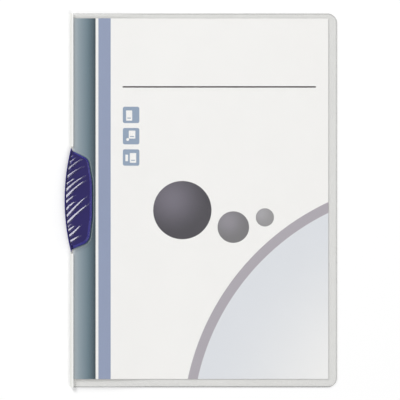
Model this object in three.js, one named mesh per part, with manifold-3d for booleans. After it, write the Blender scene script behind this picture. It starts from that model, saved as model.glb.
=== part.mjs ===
// A4 clip folder: a folded cover of clear film round one printed sheet, held by a clip that
// swings out of the spine about a pin in its upper tip.
// Millimetres, +Z up. The folder lies on its back cover with the front cover facing up.
// In the folder's own coordinates x runs from the spine's outer face to the fore edge and
// y runs from the middle of the page to its top. The group at the end moves the origin to
// the middle of the base.

import * as THREE from "three";
import * as BufferGeometryUtils from "three/addons/utils/BufferGeometryUtils.js";
import Module from "manifold-3d";

const wasm = await Module();
wasm.setup();

// Cover
const coverWidth = 219.5;
const coverHeight = 308;
const coverCornerRadius = 8;
const filmThickness = 0.4;
const spineDepth = 2.55;

// Sheet
const sheetWidth = 210;
const sheetHeight = 297;
const sheetThickness = 0.2;
const sheetSpineMargin = 2.3;
const sheetTopMargin = 4.1;

// Clearances
const layerGap = 0.1;
const slideGap = 0.15;
const lipGap = 0.2;
const cutClearance = 1;
const pinClearance = 0.12;

// Clip
const clipLength = 86.2;
const clipCentreY = 0.3;
const clipBulge = 5;
const clipTipInset = 0.4;
const pinRadius = 0.6;
const pinFromTip = 3.1;

// Back plate of the clip, with the insets, rises and reaches of its free edge's curve
const plateThickness = 1.2;
const plateDepth = 25.5;
const plateOverrun = 23;
const plateArcOverrun = 12.65;
const plateLedge = 1.4;
const plateEndLean = 3.6;
const plateEndInset = 9;
const plateHeelInset = 3;
const plateHeelRise = 1;
const plateBelly = 1.5;
const plateBellyRise = 12;
const plateWaistInset = 3.5;
const plateWaistReach = 16;
const plateTaperInset = 7.5;
const plateTaperReach = 17;
const plateTipPull = 10;

// Wall between the plate and the jaw
const wallThickness = 2;
const wallTopGap = 3;
const wallBottomGap = 0.8;
const wallRise = 1.4;

// Jaw of the clip
const jawDepth = 17.9;
const jawTipSetback = 2.6;
const jawShoulderDrop = 9.2;
const jawShoulderDepth = 14.6;
const jawShoulderRadius = 7;
const jawWaistRise = 14.654;
const jawWaistDrop = 13.792;
const jawWaistRadius = 60;
const jawHeelDrop = 8.5;
const jawHeelDepth = 15.4;
const jawHeelRadius = 9;
const jawSpineDraft = 0.3;
const jawFootHeight = 1.2;
const jawFootInset = 0.3;
const jawBlankTopInset = 2.7;
const jawSkin = 1.5;
const jawSideSkin = 2.1;
const jawHeadroom = 1;

// Height of the jaw's spine edge above the lip, from the upper tip to the lower one
const jawHeightAtTip = 1.75;
const jawHeightAboveMiddle = 3.92;
const jawHeightAtMiddle = 4.9;
const jawHeightBelowMiddle = 4.802;
const jawHeightAtHeel = 4.1;
const jawFall = 1.5;
const jawFallCurve = 1.5;
const jawRidgeShare = 0.22;

// Pointed edge of the jaw over the plate's arc
const spikeWidth = 1.7;
const spikeHeight = 1.5;
const spikeSetback = 0.05;
const spikePointWidth = 0.2;
const spikeTaper = 0.5;

// Ribs on the jaw: lean and bow are in degrees, reach is a share of the jaw's depth
const ribPitch = 4.1;
const ribFirst = 1.1;
const ribHeight = 0.95;
const ribWidth = 2.9;
const ribRoot = 0.5;
const ribFieldInset = 2.295;
const ribLean = 47;
const ribLeanSwing = 3;
const ribLeanRate = 0.9;
const ribBow = -8;
const ribBowSwing = 5;
const ribBowRate = 0.7;
const ribBowTurn = Math.PI * 1.2;
const ribReach = [1.2, 0.66, 0.984, 0.6, 1.104, 0.78];
const ribReachAtTip = 0.3;
const ribReachGrowth = 2.4;
const ribFade = 0.3;
const ribFadeCurve = 1.6;
const ribNarrowing = 0.75;
const ribEndRise = 0.03;
const ribSteps = 7;

// Stretch in which the stack comes down from the clip's back plate to the table
const settleStart = plateDepth + 3;
const settleEnd = settleStart + 42;
const coverSettleEnd = 60;

// Steps in the curves and surfaces
const settleSteps = 10;
const cornerSteps = 6;
const spineSideSteps = 14;
const spikeSteps = 24;
const plateCurveSteps = 20;
const jawStepsX = 8;
const jawStepsY = 26;

// Places that follow from the sizes
const clipTopY = clipCentreY + clipLength / 2;
const clipBottomY = clipCentreY - clipLength / 2;
const outerArcSagitta = clipBulge + clipTipInset;
const outerArcRadius = ((clipLength / 2) ** 2 + outerArcSagitta ** 2) / (2 * outerArcSagitta);
const outerArcCentre = new THREE.Vector2(outerArcRadius - clipBulge, clipCentreY);
const stackLift = plateThickness + slideGap;
const pin = {
  x: sheetSpineMargin - pinRadius - lipGap * 2,
  y: clipTopY - pinFromTip,
};
const wallTopY = pin.y - pinRadius - wallTopGap;
const wallBottomY = clipBottomY + jawTipSetback + wallBottomGap;
const wallInnerLimit = sheetSpineMargin - lipGap * 4;
const recessDepth = sheetSpineMargin - lipGap * 2;

const { lerp, clamp, degToRad } = THREE.MathUtils;
const smoothStep = (t) => THREE.MathUtils.smoothstep(t, 0, 1);

// Heights of the layers, bottom to top
const backBottom = (x) =>
  stackLift * (1 - smoothStep((x - settleStart) / (settleEnd - settleStart)));
const backTop = (x) => backBottom(x) + filmThickness;
const sheetBottom = (x) => backTop(x) + layerGap;
const sheetTop = (x) => sheetBottom(x) + sheetThickness;
const creaseHeight = stackLift + spineDepth - filmThickness;
const creaseRise = creaseHeight - sheetTop(0) - slideGap;
const frontBottom = (x) => sheetTop(x) + slideGap + creaseRise * (1 - smoothStep(x / coverSettleEnd));
const frontTop = (x) => frontBottom(x) + filmThickness;
const lipHeight = sheetTop(0) + lipGap;
const jawCeiling = lipHeight + jawHeightAtMiddle + ribHeight + jawHeadroom;

// Cuts run from below the folder to above it
const below = -plateThickness;
const above = jawCeiling;

// Solids

function toSolid(geometry) {
  const bare = geometry.index ? geometry.clone() : BufferGeometryUtils.mergeVertices(geometry);
  bare.deleteAttribute("normal");
  bare.deleteAttribute("uv");
  const merged = BufferGeometryUtils.mergeVertices(bare, 1e-5);
  return new wasm.Manifold(
    new wasm.Mesh({
      numProp: 3,
      vertProperties: Float32Array.from(merged.attributes.position.array),
      triVerts: Uint32Array.from(merged.index.array),
    }),
  );
}

function toGeometry(solid) {
  const mesh = solid.getMesh();
  const geometry = new THREE.BufferGeometry();
  geometry.setAttribute("position", new THREE.BufferAttribute(mesh.vertProperties, 3));
  geometry.setIndex(new THREE.BufferAttribute(mesh.triVerts, 1));
  geometry.computeVertexNormals();
  return geometry;
}

// A plan outline in x and y, raised from one height to another
function raise(shape, fromZ, toZ, curveSegments) {
  const geometry = new THREE.ExtrudeGeometry(shape, {
    depth: toZ - fromZ,
    bevelEnabled: false,
    curveSegments,
  });
  geometry.translate(0, 0, fromZ);
  return toSolid(geometry);
}

function raiseRectangle(fromX, toX, fromY, toY, fromZ, toZ) {
  const geometry = new THREE.BoxGeometry(toX - fromX, toY - fromY, toZ - fromZ);
  geometry.translate((fromX + toX) / 2, (fromY + toY) / 2, (fromZ + toZ) / 2);
  return toSolid(geometry);
}

// A round bar about the pin
function raisePin(radius, fromZ, toZ, segments) {
  const geometry = new THREE.CylinderGeometry(radius, radius, toZ - fromZ, segments);
  geometry.rotateX(Math.PI / 2);
  geometry.translate(pin.x, pin.y, (fromZ + toZ) / 2);
  return toSolid(geometry);
}

// A side profile in x and z, drawn out along y
function drawOut(profile, length, centreY) {
  const geometry = new THREE.ExtrudeGeometry(new THREE.Shape(profile), {
    depth: length,
    bevelEnabled: false,
  });
  geometry.rotateX(Math.PI / 2);
  geometry.translate(0, centreY + length / 2, 0);
  return toSolid(geometry);
}

// A closed solid through rings of equal point count. The section is the ring's shape as
// seen from the end, anticlockwise, and gives the two caps.
function loft(rings, section) {
  const count = section.length;
  const last = (rings.length - 1) * count;
  const index = [];
  for (let r = 0; r + 1 < rings.length; r++) {
    for (let i = 0; i < count; i++) {
      const a = r * count + i;
      const b = r * count + ((i + 1) % count);
      index.push(a, b, b + count);
      index.push(a, b + count, a + count);
    }
  }
  for (const [a, b, c] of THREE.ShapeUtils.triangulateShape(section, [])) {
    index.push(a, c, b);
    index.push(last + a, last + b, last + c);
  }
  const geometry = new THREE.BufferGeometry();
  geometry.setFromPoints(rings.flat());
  geometry.setIndex(index);
  return toSolid(geometry);
}

// Cover and sheet

function settleStations(fromX, toX) {
  const stations = [fromX];
  for (let i = 0; i <= settleSteps; i++) {
    stations.push(lerp(settleStart, settleEnd, i / settleSteps));
  }
  stations.push(toX);
  return stations;
}

function bandProfile(stations, bottom, top) {
  const lower = stations.map((x) => new THREE.Vector2(x, bottom(x)));
  const upper = stations.map((x) => new THREE.Vector2(x, top(x))).reverse();
  return [...lower, ...upper];
}

// The space over the cover's plan, with round corners at the fore edge
function coverBlock() {
  const half = coverHeight / 2;
  const r = coverCornerRadius;
  const plan = new THREE.Shape();
  plan.moveTo(0, -half);
  plan.lineTo(coverWidth - r, -half);
  plan.absarc(coverWidth - r, -half + r, r, -Math.PI / 2, 0, false);
  plan.lineTo(coverWidth, half - r);
  plan.absarc(coverWidth - r, half - r, r, 0, Math.PI / 2, false);
  plan.lineTo(0, half);
  plan.closePath();
  return raise(plan, below, above, cornerSteps * 2);
}

// The break in the spine along the clip
function spineGap(fromZ) {
  const fromY = clipBottomY - cutClearance;
  const toY = clipTopY + cutClearance;
  return raiseRectangle(-clipBulge, sheetSpineMargin, fromY, toY, fromZ, above);
}

// The back cover and the strip of spine that stands on it
function backCoverSolid() {
  const profile = bandProfile(settleStations(0, coverWidth), backBottom, backTop);
  const spineTop = creaseHeight - layerGap;
  profile.pop();
  profile.push(new THREE.Vector2(filmThickness, backTop(0)));
  profile.push(new THREE.Vector2(filmThickness, spineTop));
  profile.push(new THREE.Vector2(0, spineTop));
  const recessBottom = wallBottomY - cutClearance;
  const recessTop = wallTopY + lipGap * 2;
  return coverBlock()
    .intersect(drawOut(profile, coverHeight, 0))
    .subtract(spineGap(backTop(0)))
    .subtract(raiseRectangle(-clipBulge, recessDepth, recessBottom, recessTop, below, above))
    .subtract(raisePin(pinRadius + pinClearance, below, above, 16));
}

// The front cover, cut out round the jaw and round the tip that turns on the pin
function frontCoverSolid() {
  const stations = [];
  for (let i = 0; i < settleSteps * 2; i++) {
    stations.push(lerp(0, settleEnd, i / (settleSteps * 2)));
  }
  stations.push(settleEnd, coverWidth);
  const notch = new THREE.Shape(jawOutline(-cutClearance, -cutClearance));
  return coverBlock()
    .intersect(drawOut(bandProfile(stations, frontBottom, frontTop), coverHeight, 0))
    .subtract(raise(notch, below, above))
    .subtract(raisePin(pinFromTip + cutClearance, below, above, 40))
    .subtract(spineGap(below));
}

function sheetSolid() {
  const stations = settleStations(sheetSpineMargin, sheetSpineMargin + sheetWidth);
  const centreY = coverHeight / 2 - sheetTopMargin - sheetHeight / 2;
  return drawOut(bandProfile(stations, sheetBottom, sheetTop), sheetHeight, centreY);
}

// Clip outlines

// The arc that the clip's spine side follows, moved in by an inset
const arcX = (y, inset = 0) =>
  outerArcCentre.x - Math.sqrt((outerArcRadius - inset) ** 2 - (y - clipCentreY) ** 2);

// The back plate: a leaf from the upper tip to a round end behind the folder
function plateShape() {
  const arcEndY = clipBottomY - plateArcOverrun;
  const endY = clipBottomY - plateOverrun;
  const shape = new THREE.Shape();
  shape.absarc(
    outerArcCentre.x,
    clipCentreY,
    outerArcRadius,
    Math.PI - Math.asin((clipTopY - clipCentreY) / outerArcRadius),
    Math.PI - Math.asin((arcEndY - clipCentreY) / outerArcRadius),
    false,
  );
  const heel = new THREE.Vector2(plateDepth - plateHeelInset, arcEndY + plateHeelRise);
  const waist = new THREE.Vector2(plateDepth - plateWaistInset, clipCentreY);
  shape.bezierCurveTo(
    arcX(arcEndY) + plateEndLean,
    endY,
    plateDepth - plateEndInset,
    endY,
    heel.x,
    heel.y,
  );
  shape.bezierCurveTo(
    plateDepth + plateBelly,
    arcEndY + plateBellyRise,
    plateDepth,
    waist.y - plateWaistReach,
    waist.x,
    waist.y,
  );
  shape.bezierCurveTo(
    plateDepth - plateTaperInset,
    waist.y + plateTaperReach,
    plateTipPull,
    clipTopY - plateTipPull,
    clipTipInset,
    clipTopY,
  );
  return shape;
}

// The corner of a polygon rounded by an arc
function roundCorner(before, corner, after, radius) {
  const toBefore = before.clone().sub(corner).normalize();
  const toAfter = after.clone().sub(corner).normalize();
  const halfAngle = Math.acos(toBefore.dot(toAfter)) / 2;
  const reach = radius / Math.tan(halfAngle);
  const bisector = toBefore.clone().add(toAfter).normalize();
  const centre = corner.clone().addScaledVector(bisector, radius / Math.sin(halfAngle));
  const start = corner.clone().addScaledVector(toBefore, reach).sub(centre);
  const end = corner.clone().addScaledVector(toAfter, reach).sub(centre);
  const turn = Math.atan2(start.x * end.y - start.y * end.x, start.dot(end));
  const points = [];
  for (let i = 0; i <= cornerSteps; i++) {
    const angle = (turn * i) / cornerSteps;
    points.push(start.clone().rotateAround(new THREE.Vector2(), angle).add(centre));
  }
  return points;
}

// The line through two points, moved to its left
function offsetLine(a, b, distance) {
  const direction = b.clone().sub(a).normalize();
  const normal = new THREE.Vector2(-direction.y, direction.x);
  return { point: a.clone().addScaledVector(normal, distance), direction };
}

function crossing(first, second) {
  const { point: p, direction: d } = first;
  const { point: q, direction: e } = second;
  const t = ((q.x - p.x) * e.y - (q.y - p.y) * e.x) / (d.x * e.y - d.y * e.x);
  return p.clone().addScaledVector(d, t);
}

// Where a line meets a circle about the outer arc's centre, at the hit nearer to an x
function meetArc({ point, direction }, radius, nearX) {
  const out = point.clone().sub(outerArcCentre);
  const b = out.dot(direction);
  const root = Math.sqrt(b * b - out.lengthSq() + radius ** 2);
  const hits = [-b - root, -b + root].map((t) => point.clone().addScaledVector(direction, t));
  hits.sort((p, q) => Math.abs(p.x - nearX) - Math.abs(q.x - nearX));
  return hits[0];
}

// The D outline of the jaw. A positive inset moves its inner side inwards, and spineInset
// moves its spine side, which follows the plate's outer arc. Points run anticlockwise.
function jawOutline(inset, spineInset) {
  const corners = [
    new THREE.Vector2(arcX(clipBottomY) + plateLedge, clipBottomY + jawTipSetback),
    new THREE.Vector2(jawHeelDepth, clipBottomY + jawHeelDrop),
    new THREE.Vector2(jawDepth, clipCentreY - jawWaistDrop),
    new THREE.Vector2(jawDepth, clipCentreY + jawWaistRise),
    new THREE.Vector2(jawShoulderDepth, clipTopY - jawShoulderDrop),
    new THREE.Vector2(arcX(clipTopY) + plateLedge, clipTopY - jawTipSetback),
  ];
  const radii = [jawHeelRadius, jawWaistRadius, jawWaistRadius, jawShoulderRadius];
  const sides = corners.slice(1).map((corner, i) => offsetLine(corners[i], corner, inset));
  const spineRadius = outerArcRadius - plateLedge - spineInset;

  const moved = [meetArc(sides[0], spineRadius, corners[0].x)];
  for (let i = 0; i + 1 < sides.length; i++) {
    moved.push(crossing(sides[i], sides[i + 1]));
  }
  moved.push(meetArc(sides.at(-1), spineRadius, corners.at(-1).x));

  const outline = [moved[0]];
  radii.forEach((radius, i) => {
    outline.push(...roundCorner(moved[i], moved[i + 1], moved[i + 2], radius - inset));
  });
  outline.push(moved.at(-1));
  for (let i = 1; i < spineSideSteps; i++) {
    const y = lerp(moved.at(-1).y, moved[0].y, i / spineSideSteps);
    outline.push(new THREE.Vector2(arcX(y, plateLedge + spineInset), y));
  }
  return outline;
}

// Surface of the jaw

// The jaw's spine edge, whose points hold the place along the clip and the height
const jawRidge = new THREE.CatmullRomCurve3([
  new THREE.Vector3(clipTopY, 0, jawHeightAtTip),
  new THREE.Vector3(clipTopY - clipLength * jawRidgeShare, 0, jawHeightAboveMiddle),
  new THREE.Vector3(clipCentreY, 0, jawHeightAtMiddle),
  new THREE.Vector3(clipBottomY + clipLength * jawRidgeShare, 0, jawHeightBelowMiddle),
  new THREE.Vector3(clipBottomY, 0, jawHeightAtHeel),
]);

function jawTop(x, y) {
  const along = clamp((clipTopY - y) / clipLength, 0, 1);
  const across = clamp((x - arcX(y)) / (jawDepth + clipBulge), 0, 1);
  const height = jawRidge.getPoint(along).z;
  return lipHeight + height - (jawFall * (height / jawHeightAtMiddle) * across ** jawFallCurve);
}

// The space over the jaw's surroundings, from under the lip up to a surface z(x, y)
function spaceUnder(surface) {
  const margin = cutClearance * 3;
  const geometry = new THREE.BoxGeometry(1, 1, 1, jawStepsX, jawStepsY, 1);
  const position = geometry.attributes.position;
  for (let i = 0; i < position.count; i++) {
    const x = lerp(-clipBulge - margin, jawDepth + margin, position.getX(i) + 0.5);
    const y = lerp(clipBottomY - margin, clipTopY + margin, position.getY(i) + 0.5);
    const z = position.getZ(i) > 0 ? surface(x, y) : lipHeight - jawFootHeight;
    position.setXYZ(i, x, y, z);
  }
  return toSolid(geometry);
}

// Outline across a rib: the side as a share of half the width, the height as a share of the
// rise, and the root's depth in the jaw as a share of ribRoot
const ribSection = [
  { side: -1.1, up: 0, root: 1 },
  { side: 1.1, up: 0, root: 1 },
  { side: 1, up: 0.12, root: 0 },
  { side: 0.45, up: 0.62, root: 0 },
  { side: -0.05, up: 1, root: 0 },
  { side: -0.5, up: 0.72, root: 0 },
  { side: -1, up: 0.12, root: 0 },
];

// One rib: a ridge that starts at the spine edge, climbs across the jaw and fades out
function ribSolid(startY, length, lean, bow, strength) {
  const rings = [];
  const point = new THREE.Vector2(arcX(startY) + plateLedge - ribWidth / 4, startY);
  for (let i = 0; i <= ribSteps; i++) {
    const t = i / ribSteps;
    const angle = lean + bow * Math.sin(t * ribBowTurn);
    const along = new THREE.Vector2(Math.cos(angle), Math.sin(angle));
    if (i > 0) {
      point.addScaledVector(along, length / ribSteps);
    }
    const rise = ribHeight * strength * (1 - t ** ribFadeCurve) + ribEndRise;
    const half = (ribWidth / 2) * (1 - ribNarrowing * t);
    rings.push(
      ribSection.map(({ side, up, root }) => {
        const x = point.x - along.y * side * half;
        const y = point.y + along.x * side * half;
        return new THREE.Vector3(x, y, jawTop(x, y) + up * rise - root * ribRoot);
      }),
    );
  }
  const section = ribSection.map(({ side, up, root }) => new THREE.Vector2(side, up - root));
  return loft(rings, section);
}

// Long and short ribs take turns, and all of them grow lower towards the lower tip
function ribs() {
  const solids = [];
  const count = Math.floor((clipLength - jawTipSetback * 2) / ribPitch) - 1;
  for (let i = 0; i < count; i++) {
    const startY = clipTopY - jawTipSetback - ribPitch * (i + ribFirst);
    const along = (clipTopY - startY) / clipLength;
    const strength = 1 - ribFade * along;
    const room = Math.min(1, ribReachAtTip + along * ribReachGrowth) * (jawDepth + clipBulge);
    const length = room * ribReach[i % ribReach.length] * strength;
    const lean = degToRad(ribLean + ribLeanSwing * Math.sin(i * ribLeanRate));
    const bow = degToRad(ribBow + ribBowSwing * Math.sin(i * ribBowRate));
    solids.push(ribSolid(startY, length, lean, bow, strength));
  }
  return solids;
}

// Clip

// The blank of the jaw: an upright foot, then a border that slopes inwards
function jawBlank() {
  const footTop = lipHeight + jawFootHeight;
  const ring = (inset, spineInset, z) =>
    jawOutline(inset, spineInset).map((p) => new THREE.Vector3(p.x, p.y, z));
  const rings = [
    ring(0, 0, lipHeight),
    ring(jawFootInset, jawSpineDraft, footTop),
    ring(jawBlankTopInset, jawSpineDraft, jawCeiling),
  ];
  return loft(rings, jawOutline(0, 0));
}

// The jaw: its blank under the ribbed surface, with a hollow underside
function jawSolid() {
  const ribField = raise(new THREE.Shape(jawOutline(ribFieldInset, 0)), below, above);
  let surface = spaceUnder(jawTop);
  for (const rib of ribs()) {
    surface = surface.add(rib.intersect(ribField));
  }
  const roof = (x, y) => Math.max(jawTop(x, y) - jawSkin, lipHeight + lipGap);
  const roomOutline = jawOutline(jawSideSkin, wallThickness + jawSpineDraft);
  const hollow = spaceUnder(roof).intersect(raise(new THREE.Shape(roomOutline), below, above));
  return jawBlank().intersect(surface).subtract(hollow);
}

// The wall that joins the jaw to the back plate outside the paper
function wallShape() {
  const outside = [];
  const inside = [];
  for (let i = 0; i <= spineSideSteps; i++) {
    const y = lerp(wallTopY, wallBottomY, i / spineSideSteps);
    const outerX = arcX(y) + plateLedge + jawSpineDraft;
    outside.push(new THREE.Vector2(outerX, y));
    inside.push(new THREE.Vector2(Math.min(outerX + wallThickness, wallInnerLimit), y));
  }
  return new THREE.Shape([...outside, ...inside.reverse()]);
}

// The pointed edge of the jaw that follows the plate's arc from tip to tip
function spikeShape() {
  const outside = [];
  const inside = [];
  for (let i = 0; i <= spikeSteps; i++) {
    const y = lerp(clipTopY, clipBottomY, i / spikeSteps);
    outside.push(new THREE.Vector2(arcX(y) + spikeSetback, y));
    if (i > 0 && i < spikeSteps) {
      const fromTip = Math.min(clipTopY - y, y - clipBottomY);
      const width = Math.min(spikeWidth, spikePointWidth + fromTip * spikeTaper);
      inside.push(new THREE.Vector2(arcX(y) + width, y));
    }
  }
  return new THREE.Shape([...outside, ...inside.reverse()]);
}

function clipSolid() {
  const plateMiddle = plateThickness / 2;
  return jawSolid()
    .add(raise(spikeShape(), lipHeight, lipHeight + spikeHeight))
    .add(raise(wallShape(), plateMiddle, lipHeight + wallRise))
    .add(raise(plateShape(), 0, plateThickness, plateCurveSteps))
    .add(raisePin(pinRadius, plateMiddle, lipHeight + jawHeightAtTip / 2, 16));
}

// Finishes
const clearFilm = new THREE.MeshStandardMaterial({
  color: 0xe6e7e4,
  roughness: 0.42,
  transparent: true,
  opacity: 0.4,
});
const printedPaper = new THREE.MeshStandardMaterial({ color: 0xf4f4f2, roughness: 0.7 });
const indigoPlastic = new THREE.MeshStandardMaterial({ color: 0x3c3468, roughness: 0.22 });

function piece(name, solid, material) {
  const mesh = new THREE.Mesh(toGeometry(solid), material);
  mesh.name = name;
  return mesh;
}

const folder = new THREE.Group();
folder.add(piece("back_cover", backCoverSolid(), clearFilm));
folder.add(piece("front_cover", frontCoverSolid(), clearFilm));
folder.add(piece("insert_sheet", sheetSolid(), printedPaper));
folder.add(piece("clip", clipSolid(), indigoPlastic));
folder.position.set(-(coverWidth - clipBulge) / 2, 0, 0);

export default folder;
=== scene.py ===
"""A clip folder of clear film round a printed A4 sheet, held by a ribbed swing clip.

The folder lies on its back cover. Lengths are in metres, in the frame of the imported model:
x runs from the spine to the fore edge, y to the top of the page, z up.
"""

import logging
import math
from dataclasses import dataclass, field
from enum import Enum
from typing import Callable, Iterable, Sequence

import bpy
import numpy as np
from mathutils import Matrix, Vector


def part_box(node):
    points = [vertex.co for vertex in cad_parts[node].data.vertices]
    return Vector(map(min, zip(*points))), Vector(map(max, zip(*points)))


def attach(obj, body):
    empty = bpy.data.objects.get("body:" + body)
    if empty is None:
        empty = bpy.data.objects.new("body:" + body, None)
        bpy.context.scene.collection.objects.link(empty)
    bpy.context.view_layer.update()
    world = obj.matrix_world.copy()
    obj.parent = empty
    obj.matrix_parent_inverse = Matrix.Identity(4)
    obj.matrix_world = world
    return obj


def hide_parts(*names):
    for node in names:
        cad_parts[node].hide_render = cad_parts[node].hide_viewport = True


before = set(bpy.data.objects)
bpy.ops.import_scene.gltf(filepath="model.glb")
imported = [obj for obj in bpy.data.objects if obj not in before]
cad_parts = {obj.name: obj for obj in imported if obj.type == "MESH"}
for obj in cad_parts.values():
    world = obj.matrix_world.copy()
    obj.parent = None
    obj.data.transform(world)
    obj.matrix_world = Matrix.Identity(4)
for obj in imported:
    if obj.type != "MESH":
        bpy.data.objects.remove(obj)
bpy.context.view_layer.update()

LOG = logging.getLogger("clip_folder")
MM = 0.001
CUTTER_LOW, CUTTER_HIGH = -5 * MM, 15 * MM
"""Heights between which a cutter passes through the whole folder."""
SMOOTH_FILM, SMOOTH_MOULDING = 40, 20
"""Edges sharper than these angles stay sharp in the shading, in degrees."""
SPINE_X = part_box("back_cover")[0].x
"""The spine's outer face, from which the folder's own sizes are measured."""

Point = tuple[float, float]
"""Two numbers in the plan: a place, a size or the ends of a range."""
Colour = tuple[float, float, float, float]
"""A linear colour with its alpha."""


def linear(red: int, green: int, blue: int) -> Colour:
    """Turn a display colour into a scene colour.

    Args:
        red: Red from 0 to 255.
        green: Green from 0 to 255.
        blue: Blue from 0 to 255.

    Returns:
        The linear colour, with full alpha.
    """
    parts = []
    for value in (red, green, blue):
        share = value / 255
        parts.append(share / 12.92 if share <= 0.04045 else ((share + 0.055) / 1.055) ** 2.4)
    return (*parts, 1.0)


def smooth_step(value: float) -> float:
    """Ease from 0 to 1 as value goes from 0 to 1."""
    t = min(max(value, 0.0), 1.0)
    return t * t * (3 - 2 * t)


class Joining(Enum):
    """The ways in which two closed shapes are combined."""

    UNION = "UNION"
    DIFFERENCE = "DIFFERENCE"
    INTERSECT = "INTERSECT"


class Body(Enum):
    """The bodies that pieces ride on."""

    FOLDER = "folder"
    COVER = "cover"
    CLIP = "swing_clip"


class Bench:
    """Modelling steps that several pieces share."""

    @staticmethod
    def clear() -> None:
        """Leave edit mode and select nothing."""
        if bpy.context.object and bpy.context.object.mode != "OBJECT":
            bpy.ops.object.mode_set(mode="OBJECT")
        bpy.ops.object.select_all(action="DESELECT")

    @staticmethod
    def take(piece: bpy.types.Object) -> None:
        """Select one piece and make it active."""
        Bench.clear()
        piece.select_set(True)
        bpy.context.view_layer.objects.active = piece

    @staticmethod
    def edit(piece: bpy.types.Object) -> None:
        """Open a piece for editing with all its faces selected.

        Args:
            piece: The piece.
        """
        Bench.take(piece)
        bpy.ops.object.mode_set(mode="EDIT")
        bpy.ops.mesh.select_mode(type="FACE")
        bpy.ops.mesh.select_all(action="SELECT")

    @staticmethod
    def settle(piece: bpy.types.Object) -> None:
        """Put a piece's place into its mesh."""
        Bench.take(piece)
        bpy.ops.object.transform_apply(location=True, rotation=True, scale=True)

    @staticmethod
    def slab(name: str, outline: Sequence[Point], low: float, high: float) -> bpy.types.Object:
        """Model a flat slab over a plan outline.

        Args:
            name: The piece's name.
            outline: Plan points, anticlockwise.
            low: Height of the underside.
            high: Height of the top.

        Returns:
            The slab.
        """
        Bench.clear()
        bpy.ops.mesh.primitive_circle_add(vertices=len(outline), radius=0.01, fill_type="NGON")
        piece = bpy.context.object
        piece.name = name
        for vertex, (x, y) in zip(piece.data.vertices, outline):
            vertex.co = (x, y, low)
        Bench.edit(piece)
        bpy.ops.mesh.extrude_region_move(TRANSFORM_OT_translate={"value": (0, 0, high - low)})
        bpy.ops.mesh.select_all(action="SELECT")
        bpy.ops.mesh.normals_make_consistent(inside=False)
        Bench.clear()
        return piece

    @staticmethod
    def combine(piece: bpy.types.Object, other: bpy.types.Object, how: Joining) -> None:
        """Join, cut or intersect a piece with another, which is used up.

        Args:
            piece: The piece that stays.
            other: The piece that is used up.
            how: The way of combining.
        """
        Bench.take(piece)
        step = piece.modifiers.new("combine", "BOOLEAN")
        step.operation = how.value
        step.solver = "MANIFOLD"
        step.object = other
        bpy.ops.object.modifier_apply(modifier=step.name)
        bpy.data.objects.remove(other)

    @staticmethod
    def soften(piece: bpy.types.Object, width: float, segments: int, angle: float) -> None:
        """Round the sharp edges of a piece.

        Args:
            piece: The piece.
            width: Width of the rounding.
            segments: Steps in each rounding.
            angle: Edges sharper than this are rounded, in degrees.
        """
        Bench.take(piece)
        step = piece.modifiers.new("soften", "BEVEL")
        step.width = width
        step.segments = segments
        step.limit_method = "ANGLE"
        step.angle_limit = math.radians(angle)
        step.harden_normals = False
        bpy.ops.object.modifier_apply(modifier=step.name)

    @staticmethod
    def smooth(piece: bpy.types.Object, angle: float) -> None:
        """Shade a piece smooth, apart from edges sharper than an angle in degrees."""
        Bench.take(piece)
        bpy.ops.object.shade_smooth_by_angle(angle=math.radians(angle))

    @staticmethod
    def slice_along_x(piece: bpy.types.Object, stations: Iterable[float]) -> None:
        """Cut edges across a piece at each x, so that it can bend there.

        Args:
            piece: The piece.
            stations: Places of the cuts.
        """
        Bench.edit(piece)
        for x in stations:
            bpy.ops.mesh.select_all(action="SELECT")
            bpy.ops.mesh.bisect(plane_co=(x, 0, 0), plane_no=(1, 0, 0))
        Bench.clear()

    @staticmethod
    def lay(piece: bpy.types.Object, height: Callable[[float, float], float]) -> None:
        """Add a height to each point of a piece.

        Args:
            piece: The piece.
            height: Gives the height to add at a plan place.
        """
        for vertex in piece.data.vertices:
            vertex.co.z += height(vertex.co.x, vertex.co.y)
        piece.data.update()


def circle(x: float, y: float, radius: float, steps: int) -> list[Point]:
    """Points of a circle in the plan.

    Args:
        x: Middle of the circle.
        y: Middle of the circle.
        radius: Its radius.
        steps: Number of points.

    Returns:
        The points, anticlockwise.
    """
    turns = [2 * math.pi * i / steps for i in range(steps)]
    return [(x + radius * math.cos(turn), y + radius * math.sin(turn)) for turn in turns]


def round_corner(before: Vector, corner: Vector, after: Vector, radius: float, steps: int) -> list[Point]:
    """Round one corner of a plan outline by an arc.

    Args:
        before: The corner before.
        corner: The corner itself.
        after: The corner after.
        radius: Radius of the arc.
        steps: Segments in the arc.

    Returns:
        The arc's points, in order.
    """
    to_before = (before - corner).normalized()
    to_after = (after - corner).normalized()
    half = to_before.angle(to_after) / 2
    centre = corner + (to_before + to_after).normalized() * (radius / math.sin(half))
    start = corner + to_before * (radius / math.tan(half)) - centre
    end = corner + to_after * (radius / math.tan(half)) - centre
    turn = math.atan2(start.x * end.y - start.y * end.x, start.dot(end))
    points = []
    for i in range(steps + 1):
        a = turn * i / steps
        x = start.x * math.cos(a) - start.y * math.sin(a)
        y = start.x * math.sin(a) + start.y * math.cos(a)
        points.append((centre.x + x, centre.y + y))
    return points


def points_between(start: Point, end: Point, count: int) -> list[Point]:
    """Evenly spaced points between two plan points, without the two themselves."""
    shares = [(i + 1) / (count + 1) for i in range(count)]
    return [tuple(a + (b - a) * share for a, b in zip(start, end)) for share in shares]


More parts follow.
